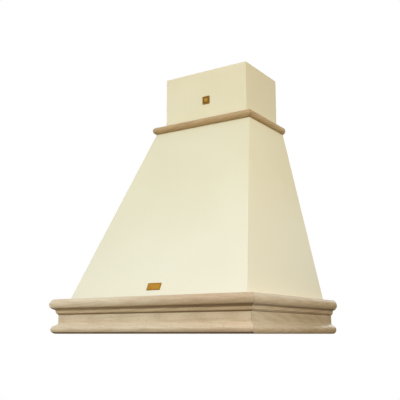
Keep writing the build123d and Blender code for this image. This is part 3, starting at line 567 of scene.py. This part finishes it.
def button_mark(use):
    """A button's plain mark: a ring for off, one to three bars for speed, a spot for the lamps."""
    middle = center(f"{use}_button")

    def mark(finish):
        flat_place = finish.stretch(finish.place, (1, 1, 0))
        from_middle = finish.vector("SUBTRACT", flat_place, (middle.x, middle.y, 0))
        if use == "off":
            return stroke(finish, finish.length(from_middle) - ring_radius, ring_line)
        if use == "lamp":
            return stroke(finish, finish.length(from_middle), spot_radius)
        bars = speeds.index(use) + 1
        across, along = finish.along(from_middle, "X"), finish.along(from_middle, "Y")
        shifts = [(bar - (bars - 1) / 2) * bar_pitch for bar in range(bars)]
        columns = sum(stroke(finish, across - shift, bar_half_width) for shift in shifts)
        return columns * stroke(finish, along, bar_half_length)

    return mark


lamp_axis = center("lamp_lens_right")
stainless = brushed_steel("brushed_stainless", shade(176, 177, 176), (0.03, 1, 1), roughness=0.34)
bright_steel = brushed_steel("bright_steel", shade(196, 196, 194), (1, 1, 0.1), roughness=0.24)
filter_aluminium = brushed_steel("filter_aluminium", shade(200, 202, 204), (1, 1, 1), roughness=0.36)
bezel_steel = brushed_steel(
    "bezel_steel", shade(190, 190, 188), (1, 1, 0.05), roughness=0.26, spun_round=lamp_axis
)
zinc_sheet = galvanised()
black_plastic = moulded_plastic("black_plastic", shade(32, 32, 34), roughness=0.5)
fan_plastic = moulded_plastic("fan_plastic", shade(198, 200, 196), roughness=0.42)
box_plastic = moulded_plastic("box_plastic", shade(196, 196, 190), roughness=0.48)
button_grey = shade(160, 160, 156)
button_roughness = 0.4

finishes = {
    "liner_pan": stainless,
    "filter_frame": filter_aluminium,
    "filter_pull": bright_steel,
    "filter_hinge_pins": bright_steel,
    "damper_pins": bright_steel,
    "motor_shaft": bright_steel,
    "blower_scroll": zinc_sheet,
    "blower_side_left": zinc_sheet,
    "blower_side_right": zinc_sheet,
    "motor_bracket": zinc_sheet,
    "outlet_spigot": zinc_sheet,
    "damper_flap_left": filter_aluminium,
    "damper_flap_right": filter_aluminium,
    "lamp_bezel_left": bezel_steel,
    "lamp_bezel_right": bezel_steel,
    "magnet_catches": black_plastic,
    "control_fascia": black_plastic,
    "switch_block": black_plastic,
    "impeller": fan_plastic,
    "junction_box": box_plastic,
    "junction_lid": box_plastic,
    "cable_gland": black_plastic,
    "glide_pads": felt(),
}
for use in ("off", *speeds, "lamp"):
    button = f"{use}_button"
    finishes[button] = moulded_plastic(
        f"{button}_plastic", button_grey, button_roughness, printed=button_mark(use)
    )
for node, material in finishes.items():
    dress(node, material)


# ---------------------------------------------------------------- shaping by hand

def start(kind, name, materials, shape=(1, 1, 1), **settings):
    """Add a primitive, name it, open it for editing and stretch it to its shape."""
    getattr(bpy.ops.mesh, f"primitive_{kind}_add")(**settings)
    piece = bpy.context.object
    piece.name = name
    piece.data.name = name
    for material in materials:
        piece.data.materials.append(material)
    bpy.ops.object.mode_set(mode="EDIT")
    bpy.ops.transform.resize(value=shape)
    return piece


def pick(piece, wanted, kind="FACE"):
    """Select the faces, edges or corners that wanted says yes to."""
    bpy.ops.mesh.select_mode(type=kind)
    bpy.ops.mesh.select_all(action="DESELECT")
    mesh = bmesh.from_edit_mesh(piece.data)
    parts = {"FACE": mesh.faces, "EDGE": mesh.edges, "VERT": mesh.verts}[kind]
    for part in parts:
        part.select_set(wanted(part))
    mesh.select_flush_mode()
    bmesh.update_edit_mesh(piece.data)


def looks_up(face):
    return face.normal.z > 0.99


def looks_down(face):
    return face.normal.z < -0.99


def foot_of(edge):
    """The height of an edge's lower end."""
    return min(corner.co.z for corner in edge.verts)


def climb_of(edge):
    """How far an edge's upper end is above its lower one."""
    return max(corner.co.z for corner in edge.verts) - foot_of(edge)


def inset(thickness, depth=0.0, **settings):
    bpy.ops.mesh.inset(thickness=thickness, depth=depth, **settings)


def ease_edges(width, segments):
    bpy.ops.mesh.bevel(offset=width, segments=segments, affect="EDGES")


def draw_out(rise, size=1.0):
    """Pull the selection upwards, then grow or shrink its new end."""
    bpy.ops.mesh.extrude_region_move(TRANSFORM_OT_translate={"value": (0, 0, rise)})
    bpy.ops.transform.resize(value=(size, size, 1))


def lift(rise):
    """Move the selection upwards."""
    bpy.ops.transform.translate(value=(0, 0, rise))


def paint_selection(piece, number):
    """Give the selected faces another of the piece's materials."""
    piece.active_material_index = number
    bpy.ops.object.material_slot_assign()


def stop_editing():
    if bpy.context.mode != "OBJECT":
        bpy.ops.object.mode_set(mode="OBJECT")


def apply_modifier(piece, kind, **settings):
    modifier = piece.modifiers.new(kind.title(), kind)
    for name, value in settings.items():
        setattr(modifier, name, value)
    bpy.ops.object.modifier_apply(modifier=modifier.name)


def repeat(piece, count, step):
    """Copies of a piece in a row."""
    apply_modifier(
        piece, "ARRAY", count=count, use_relative_offset=False, use_constant_offset=True,
        constant_offset_displace=step,
    )


def set_down(piece, place=(0, 0, 0), turn=(0, 0, 0), smooth=32):
    """Put a finished piece in its place and smooth its gentle edges, up to an angle in degrees."""
    stop_editing()
    piece.location = place
    piece.rotation_euler = turn
    bpy.ops.object.transform_apply(location=True, rotation=True, scale=True)
    bpy.ops.object.shade_smooth_by_angle(angle=radians(smooth))
    bpy.ops.object.select_all(action="DESELECT")


def join(pieces):
    """Make one piece of several, under the first one's name."""
    for piece in pieces:
        piece.select_set(True)
    bpy.context.view_layer.objects.active = pieces[0]
    bpy.ops.object.join()


def belongs(piece, body, finish_slot, *nodes):
    """Say what carries a piece and which built pieces it stands for; finish_slot is not used."""
    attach(piece, body)
    if nodes:
        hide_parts(*nodes)


# ---------------------------------------------------------------- the two bare plates

plate_ease = 0.0003                     # rounding of a plate's front edge
plate_step = 0.0004                     # depth of the channel, and width of its slope
middle_drop = plate_ease / 3            # how far the middle stands below the rim
gold = brass()
dark_gold = patina()


def plate_blank(name, size, corner, materials):
    """A flat plate with rounded corners and an eased front edge, its front face left selected."""
    thickness = size[2]
    piece = start("cube", name, materials, size, size=1)
    pick(piece, lambda edge: climb_of(edge) > thickness / 2, "EDGE")
    ease_edges(corner, segments=6)
    pick(piece, lambda edge: foot_of(edge) > thickness / 4, "EDGE")
    ease_edges(plate_ease, segments=3)
    pick(piece, looks_up)
    return piece


def bare_plate(node, name, size, corner, turn, rim, channel):
    """A bare brass plate: a plain rim, a dark sunk channel inside it, and a smooth middle."""
    plate = plate_blank(name, size, corner, (gold, dark_gold))
    inset(rim)
    inset(plate_step, -plate_step)
    paint_selection(plate, 1)
    set_down(plate)
    taken = 2 * (plate_ease + rim + plate_step + channel)
    middle_size = (size[0] - taken, size[1] - taken, plate_step + plate_ease)
    middle = plate_blank(f"{name}_middle", middle_size, corner / 2, (gold,))
    set_down(middle, (0, 0, size[2] / 2 - middle_size[2] / 2 - middle_drop))
    join([plate, middle])
    set_down(plate, center(node), (turn, 0, 0))
    belongs(plate, "casing", "brass", node)


emblem_low, emblem_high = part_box("emblem_plate")
plate_thickness = emblem_high.y - emblem_low.y
emblem_size = (emblem_high.x - emblem_low.x, emblem_high.z - emblem_low.z, plate_thickness)
bare_plate(
    "emblem_plate", "emblem_square", emblem_size, corner=0.003, turn=pi / 2, rim=0.0019, channel=0.0034
)

# The name plate leans with the canopy, so its box holds its height times the sine of the lean and its
# thickness times the cosine.
canopy_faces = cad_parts["canopy_front"].data.polygons
front_faces = [face for face in canopy_faces if face.normal.y < -0.5]
canopy_normal = max(front_faces, key=lambda face: face.area).normal
canopy_turn = atan2(-canopy_normal.y, canopy_normal.z)
name_low, name_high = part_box("name_plate")
name_height = (name_high.z - name_low.z - plate_thickness * cos(canopy_turn)) / sin(canopy_turn)
name_size = (name_high.x - name_low.x, name_height, plate_thickness)
bare_plate(
    "name_plate", "name_oblong", name_size, corner=0.0018, turn=canopy_turn, rim=0.0008, channel=0.0003
)


# ---------------------------------------------------------------- grease filter

window = Vector((0.3, 0.228))           # the part of a grille that shows, and a little more
cell_counts = (25, 28)
cell = Vector((window.x / cell_counts[0], window.y / cell_counts[1]))
cell_overlap = 0.0003                   # how far a cell's corners reach past its own share
strand_width = 0.0011
strand_thickness = 0.00045
strand_kink = 0.00025                   # how far a cell's left and right corners stand up
first_sheet = 0.0003                    # height of the lower sheet above the grilles' foot
last_sheet = 0.0005                     # depth of the upper sheet below the grilles' head

grille_low, grille_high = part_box("filter_grilles")
grille_middle = center("filter_grilles")
diamond = (cell.x / 2 + cell_overlap, cell.y / 2 + cell_overlap, 1)
expanded = start(
    "circle", "expanded_metal", (filter_aluminium,), diamond, vertices=4, radius=1, fill_type="NGON"
)
inset(strand_width)
bpy.ops.mesh.delete(type="FACE")
pick(expanded, lambda corner: abs(corner.co.y) < 0.0001, "VERT")
lift(strand_kink)
stop_editing()
apply_modifier(expanded, "SOLIDIFY", thickness=strand_thickness, offset=0)
repeat(expanded, cell_counts[0], (cell.x, 0, 0))
repeat(expanded, cell_counts[1], (0, cell.y, 0))
repeat(expanded, 2, (0, 0, grille_high.z - grille_low.z - first_sheet - last_sheet))
first_cell = (
    grille_middle.x - window.x / 2 + cell.x / 2,
    grille_middle.y - window.y / 2 + cell.y / 2,
    grille_low.z + first_sheet,
)
set_down(expanded, first_cell, smooth=20)
belongs(expanded, "filter", "filter_aluminium", "filter_grilles")

layer_count = 3
crumple_height = 0.0014
crumple = bpy.data.textures.new("crumple", "CLOUDS")
crumple.noise_scale = 0.012

mesh_low, mesh_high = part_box("filter_mesh")
mesh_middle = center("filter_mesh")
layer_rise = (mesh_high.z - mesh_low.z) / layer_count
sheet = (*window, 1)
layers = start("grid", "foil_layers", (foil(),), sheet, x_subdivisions=100, y_subdivisions=80, size=1)
stop_editing()
repeat(layers, layer_count, (0, 0, layer_rise))
apply_modifier(
    layers, "DISPLACE", texture=crumple, strength=crumple_height, direction="Z", texture_coords="LOCAL"
)
set_down(layers, (mesh_middle.x, mesh_middle.y, mesh_low.z + layer_rise / 2), smooth=60)
belongs(layers, "filter", "filter_aluminium", "filter_mesh")


# ---------------------------------------------------------------- lamps

lamp_facets = 72
lens_rings = (-0.0006, 0.0005, -0.0006, 0.0005, -0.0006, 0.0005, -0.0006)   # steps in and out
ring_land, ring_slope = 0.0012, 0.0009
bowl_gap = 0.0003                       # between the lens and the reflector
bowl_thickness = 0.0004
bowl_steps = ((0.004, 0.94), (0.004, 0.86), (0.0035, 0.74), (0.0025, 0.55))     # rise, shrink
bulb_radius = 0.0042
bulb_shoulder = 0.0012                  # height above which the bulb's sphere is drawn out
bulb_neck = 0.006                       # how far it is drawn out
bulb_gap = 0.0055                       # from the lens to the middle of the bulb's sphere

lens_glass = frosted_glass(
    "lamp_glass", shade(244, 246, 244), shade(226, 232, 230), fineness=1800, roughness=(0.12, 0.28),
    depth=0.00003, Transmission_Weight=0.85, IOR=1.5,
)
bulb_glass = frosted_glass(
    "frosted_bulb", shade(246, 244, 236), shade(232, 228, 216), fineness=2200, roughness=(0.3, 0.42),
    depth=0.00002,
)
silver = brushed_steel(
    "reflector_silver", shade(226, 226, 224), (1, 1, 0.2), roughness=0.16, spun_round=lamp_axis
)

for way in ("left", "right"):
    low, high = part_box(f"lamp_lens_{way}")
    lens_middle = center(f"lamp_lens_{way}")
    radius = (high.x - low.x) / 2
    thickness = high.z - low.z
    back = lens_middle + Vector((0, 0, thickness / 2))
    lens = start(
        "cylinder", f"pressed_lens_{way}", (lens_glass,), vertices=lamp_facets, radius=radius,
        depth=thickness,
    )
    pick(lens, looks_down)
    for step in lens_rings:
        inset(ring_land)
        inset(ring_slope, step)
    set_down(lens, lens_middle)
    belongs(lens, "casing", "lens_glass", f"lamp_lens_{way}")

    bowl = start(
        "circle", f"reflector_{way}", (silver,), vertices=lamp_facets, radius=radius - bowl_gap
    )
    for rise, shrink in bowl_steps:
        draw_out(rise, shrink)
    bpy.ops.mesh.edge_face_add()
    stop_editing()
    apply_modifier(bowl, "SOLIDIFY", thickness=bowl_thickness, offset=0)
    set_down(bowl, back + Vector((0, 0, bowl_gap)), smooth=50)
    belongs(bowl, "casing", "bezel_steel")

    bulb = start(
        "uv_sphere", f"bulb_{way}", (bulb_glass,), segments=32, ring_count=16, radius=bulb_radius
    )
    pick(bulb, lambda face: face.calc_center_median().z > bulb_shoulder)
    lift(bulb_neck)
    set_down(bulb, back + Vector((0, 0, bulb_gap)), smooth=60)
    belongs(bulb, "casing", "lens_glass")


# ---------------------------------------------------------------- motor

motor_facets = 48
end_rounding = 0.004
end_margin, bracket_margin = 0.008, 0.005   # plain casing at the left end and at the bracket
groove_margin, groove_depth = 0.0007, 0.0022
cap_rim, cap_sink = 0.006, 0.0015
cap_floor, boss_slope = 0.012, 0.003

motor_low, motor_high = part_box("motor_body")
motor_middle = center("motor_body")
motor_length = motor_high.x - motor_low.x
motor_radius = (motor_high.z - motor_low.z) / 2
rib_start = -motor_length / 2 + end_margin
rib_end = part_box("motor_bracket")[0].x - motor_middle.x - bracket_margin
motor = start(
    "cylinder", "motor_casing", (motor_paint(),), vertices=motor_facets, radius=motor_radius,
    depth=motor_length,
)
pick(motor, lambda edge: climb_of(edge) < 0.001, "EDGE")
ease_edges(end_rounding, segments=4)
for level in (rib_start, rib_end):
    bpy.ops.mesh.select_all(action="SELECT")
    bpy.ops.mesh.bisect(plane_co=(0, 0, level), plane_no=(0, 0, 1))


def between_ribs(face):
    """Every other facet of the motor's waist."""
    place = face.calc_center_median()
    facet = round(atan2(place.y, place.x) / (2 * pi / motor_facets) - 0.5)
    return abs(face.normal.z) < 0.1 and rib_start < place.z < rib_end and facet % 2 == 0


pick(motor, between_ribs)
inset(groove_margin, -groove_depth, use_individual=True)
pick(motor, lambda face: looks_up(face) or looks_down(face))
inset(cap_rim, -cap_sink, use_individual=True)
inset(cap_floor, use_individual=True)
inset(boss_slope, cap_sink, use_individual=True)
set_down(motor, motor_middle, (0, pi / 2, 0))
belongs(motor, "casing", "motor_paint", "motor_body")


# ---------------------------------------------------------------- screws

crown_share = 0.74                      # width of a head's top, in widths of its seat
slot_share = 0.26                       # width of a slot, in radii of its head
point_share = 0.2                       # share of a shank's length that is its point
point_taper = 0.3                       # width of the point's end, in widths of the shank
slot_excess = 1.01                      # so that the two slots' floors don't lie in one plane


def screw_model(name, radius, height, shank, length):
    """A screw with a tapered cross-recessed head, its head up and its seat at height 0."""
    screw = start("cylinder", name, (bright_steel,), vertices=32, radius=radius, depth=height)
    lift(height / 2)
    pick(screw, looks_up)
    bpy.ops.transform.resize(value=(crown_share, crown_share, 1))
    pick(screw, lambda edge: foot_of(edge) > height * 0.9, "EDGE")
    ease_edges(height / 5, segments=3)
    pick(screw, looks_down)
    inset(radius - shank)
    draw_out(-length * (1 - point_share))
    draw_out(-length * point_share, point_taper)
    stop_editing()
    slot_width = radius * slot_share
    slot = (radius, slot_width, height)
    cross_slot = (slot_width, radius, height * slot_excess)
    recess = start("cube", "recess", (), slot, size=1, location=(0, 0, height))
    bpy.ops.mesh.primitive_cube_add(size=1, scale=cross_slot, location=(0, 0, height))
    stop_editing()
    bpy.ops.object.select_all(action="DESELECT")
    bpy.context.view_layer.objects.active = screw
    screw.select_set(True)
    apply_modifier(
        screw, "BOOLEAN", operation="DIFFERENCE", solver="EXACT", use_self=True, object=recess
    )
    bpy.data.objects.remove(recess)
    return screw


def solids(group):
    """The corners of each separate solid in a group."""
    left = set(group.verts)
    while left:
        solid, search = set(), [left.pop()]
        while search:
            corner = search.pop()
            solid.add(corner)
            near = {edge.other_vert(corner) for edge in corner.link_edges} & left
            left -= near
            search.extend(near)
        yield [corner.co for corner in solid]


def seat_of(corners):
    """Where a screw's head sits, and which way it looks: its long axis, to the widest ring's side."""
    low = Vector([min(corner[axis] for corner in corners) for axis in range(3)])
    high = Vector([max(corner[axis] for corner in corners) for axis in range(3)])
    long_axis = max(range(3), key=lambda axis: high[axis] - low[axis])
    way = Vector([float(axis == long_axis) for axis in range(3)])
    middle = (low + high) / 2
    from_middle = [corner - middle for corner in corners]
    widest = max(from_middle, key=lambda arm: (arm - arm.dot(way) * way).length)
    reach = widest.dot(way)
    return middle + way * reach, way if reach > 0 else -way


def screw_seats(node):
    """The seats of a group of screws, from the group's own solids."""
    group = bmesh.new()
    group.from_mesh(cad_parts[node].data)
    bmesh.ops.remove_doubles(group, verts=group.verts, dist=0.000001)
    seats = [seat_of(corners) for corners in solids(group)]
    group.free()
    return sorted(seats, key=lambda seat: tuple(round(value, 4) for value in seat[0]))


# Each group's screw: its name, head radius, head height, shank radius and shank length.
screw_sizes = {
    "wood_screws": ("wood_screw", 0.0035, 0.002, 0.0017, 0.009),
    "machine_screws": ("machine_screw", 0.003, 0.002, 0.0015, 0.005),
}
next_turn = radians(37)                 # how much further each screw is turned than the last
for node, sizes in screw_sizes.items():
    model = screw_model(*sizes)
    copies = []
    for number, (seat, way) in enumerate(screw_seats(node)):
        copy = model.copy()
        copy.data = model.data.copy()
        bpy.context.collection.objects.link(copy)
        upright = way.to_track_quat("Z", "Y").to_matrix().to_4x4()
        twist = Matrix.Rotation(next_turn * number, 4, "Z")
        copy.data.transform(Matrix.Translation(seat) @ upright @ twist)
        copies.append(copy)
    bpy.data.objects.remove(model)
    join(copies)
    copies[0].name = f"{node}_cross_headed"
    set_down(copies[0], smooth=25)
    belongs(copies[0], "casing", "screw_steel", node)


# ---------------------------------------------------------------- floor, light and camera

hood_middle = Vector((0, -0.2, 0.35))
floor_radius = 1.7
floor_place = (0, -0.2, -2.2)
floor_roughness = 0.7

bpy.ops.mesh.primitive_circle_add(
    vertices=96, radius=floor_radius, fill_type="NGON", location=floor_place
)
floor = bpy.context.object
floor.name = "floor"
pale = Finish("pale_floor")
speckle = pale.noise(pale.place, 60, detail=3.0)
floor_color = pale.lay(shade(244, 233, 219), shade(250, 240, 227), speckle, 0.3, 0.7)
floor.data.materials.append(pale.surface(floor_color, floor_roughness))
floor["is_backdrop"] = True


def softbox(name, place, width, energy, tint=(1, 1, 1)):
    """A square lamp that looks at the middle of the hood."""
    lamp = bpy.data.lights.new(name, "AREA")
    lamp.shape = "SQUARE"
    lamp.size = width
    lamp.energy = energy
    lamp.color = tint
    stand = bpy.data.objects.new(name, lamp)
    bpy.context.scene.collection.objects.link(stand)
    stand.location = place
    stand.rotation_euler = (hood_middle - Vector(place)).to_track_quat("-Z", "Y").to_euler()


softbox("key_softbox", (-1.6, -2.6, 2.4), width=2.0, energy=54)
softbox("low_left_softbox", (-1.7, -2.0, -0.5), width=1.2, energy=17, tint=(1, 0.95, 0.68))
softbox("near_right_softbox", (1.4, -1.7, 0.7), width=1.0, energy=13.2)
softbox("right_softbox", (2.4, -0.6, 0.9), width=1.6, energy=38, tint=(1, 0.89, 0.73))
softbox("back_softbox", (0, 2.6, 0.8), width=0.5, energy=24)
softbox("under_softbox", (0, -0.1, -1.9), width=0.8, energy=5)

scene = bpy.context.scene
scene.view_settings.view_transform = "Standard"
world = bpy.data.worlds.new("studio")
world.use_nodes = True
scene.world = world
studio = Board(world.node_tree)
sky_height = studio.along(studio.node("TexCoord", output="Generated"), "Z")
sky_light = studio.ease(sky_height, 0.0, 0.8, 0.0, 0.79)
sky = studio.node("Background", {}, {"Color": (0.71, 0.84, 1.0), "Strength": sky_light})
backdrop = studio.node("Background", {}, {"Color": (1, 1, 1), "Strength": 1.0})
seen = studio.node("LightPath", output="Is Camera Ray")
shown = studio.node("MixShader", {}, {0: seen, 1: sky, 2: backdrop})
studio.node("OutputWorld", {}, {"Surface": shown})

camera_place = (0.9776, -1.7131, -0.0002)
camera_turn = radians(33.0)             # to the left of straight at the wall
camera_rise = radians(11.3)             # above level
camera_film, camera_focus = 36, 60.32   # width and focal length, in millimetres
camera = bpy.data.objects.new("camera", bpy.data.cameras.new("camera"))
camera.data.sensor_width = camera_film
camera.data.lens = camera_focus
camera.location = camera_place
camera.rotation_euler = (pi / 2 + camera_rise, 0, camera_turn)
scene.collection.objects.link(camera)
scene.camera = camera

boxes = {"cad": cad_box, "visual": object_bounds()}
{name: [list(corner) for corner in box] for name, box in boxes.items()}
